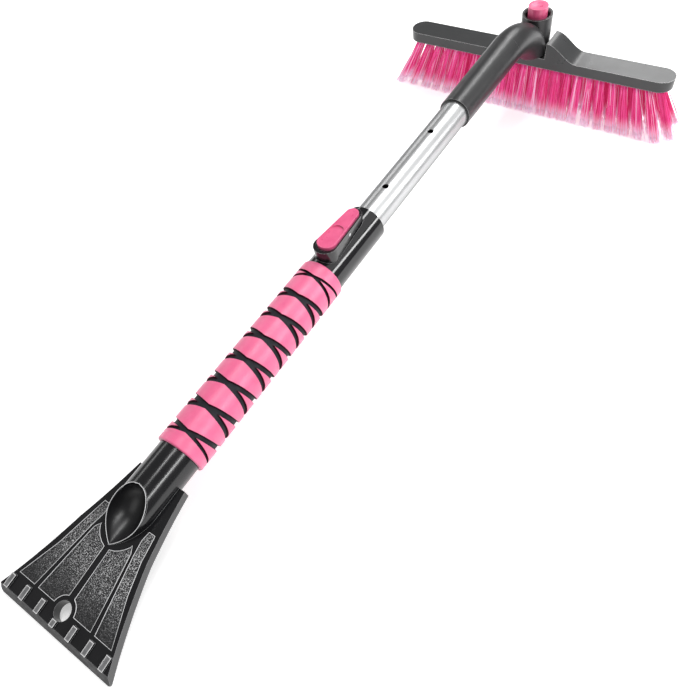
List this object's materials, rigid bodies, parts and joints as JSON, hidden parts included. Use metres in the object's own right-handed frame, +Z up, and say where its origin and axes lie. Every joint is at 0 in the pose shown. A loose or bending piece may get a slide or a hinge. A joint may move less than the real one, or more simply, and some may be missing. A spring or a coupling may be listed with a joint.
{
  "type": "snow brush scraper",
  "caption": "Telescoping snow brush with a pink foam grip, an ice-scraper blade, a lever-locked aluminium tube and a pivoting T-shaped bristle head.",
  "frame": {"origin": "middle of the bounding box, at its bottom: on the floor, under the middle of the tool as it lies on its bristle tips and scraping edge", "axes": "+Y towards the brush head along the tool, +X across it, to the right seen from above with the brush away; +Z up"},
  "size_m": [0.321, 0.7065, 0.1122],
  "materials": {
    "black_abs": "black ABS, glossy with grained panels",
    "housing_plastic": "black ABS, glossy",
    "neck_plastic": "dark grey-black plastic, satin",
    "board_plastic": "dark grey-black plastic, satin",
    "pink_foam": "pink EVA foam, matte, with dark helical grooves",
    "pink_plastic": "pink moulded plastic, satin",
    "tube_aluminium": "satin anodised, silver",
    "plated_steel": "zinc plated",
    "white_nylon": "natural nylon, matte",
    "pink_bristle": "pink PET filament with pale flagged tips"
  },
  "bodies": {
    "handle": {"scraper": "black_abs", "handle_tube": "tube_aluminium", "foam_grip": "pink_foam", "lock_housing": "housing_plastic", "guide_bush": "white_nylon", "handle_rivets": "plated_steel", "lever_pivot_pin": "plated_steel", "lever_spring": "plated_steel"},
    "lever": {"lock_lever": "pink_plastic", "lock_pin": "plated_steel"},
    "tube": {"inner_tube": "tube_aluminium", "tube_end_plug": "black_abs", "neck": "neck_plastic", "neck_rivets": "plated_steel", "button_guide": "black_abs"},
    "button": {"push_button": "pink_plastic"},
    "head": {"brush_board": "board_plastic", "pivot_post": "plated_steel", "seat_washer": "white_nylon", "pivot_washer": "plated_steel", "lock_crown": "plated_steel", "pivot_nut": "plated_steel", "button_spring": "plated_steel", "bristle_row_1": "pink_bristle", "bristle_row_2": "pink_bristle", "bristle_row_3": "pink_bristle", "bristle_row_4": "pink_bristle"}
  },
  "joints": [
    {"name": "tube_slide", "type": "slide", "parent": "handle", "child": "tube", "axis": [0, 0.9916, 0.1296], "range_m": [-0.1211, 0.0275]},
    {"name": "lever_rock", "type": "hinge", "parent": "handle", "child": "lever", "pos_m": [0, -0.04076, 0.07865], "axis": [1, 0, 0], "range_deg": [0, 5], "stiffness_Nm_per_rad": 0.6, "springref_deg": -6.88},
    {"name": "head_pivot", "type": "hinge", "parent": "tube", "child": "head", "pos_m": [0, 0.32719, 0.06441], "axis": [0, -0.1296, 0.9916], "range_deg": [0, 180]},
    {"name": "button_press", "type": "slide", "parent": "tube", "child": "button", "axis": [0, 0.1296, -0.9916], "range_m": [0, 0.004], "stiffness_N_per_m": 900, "springref_m": -0.003}
  ]
}
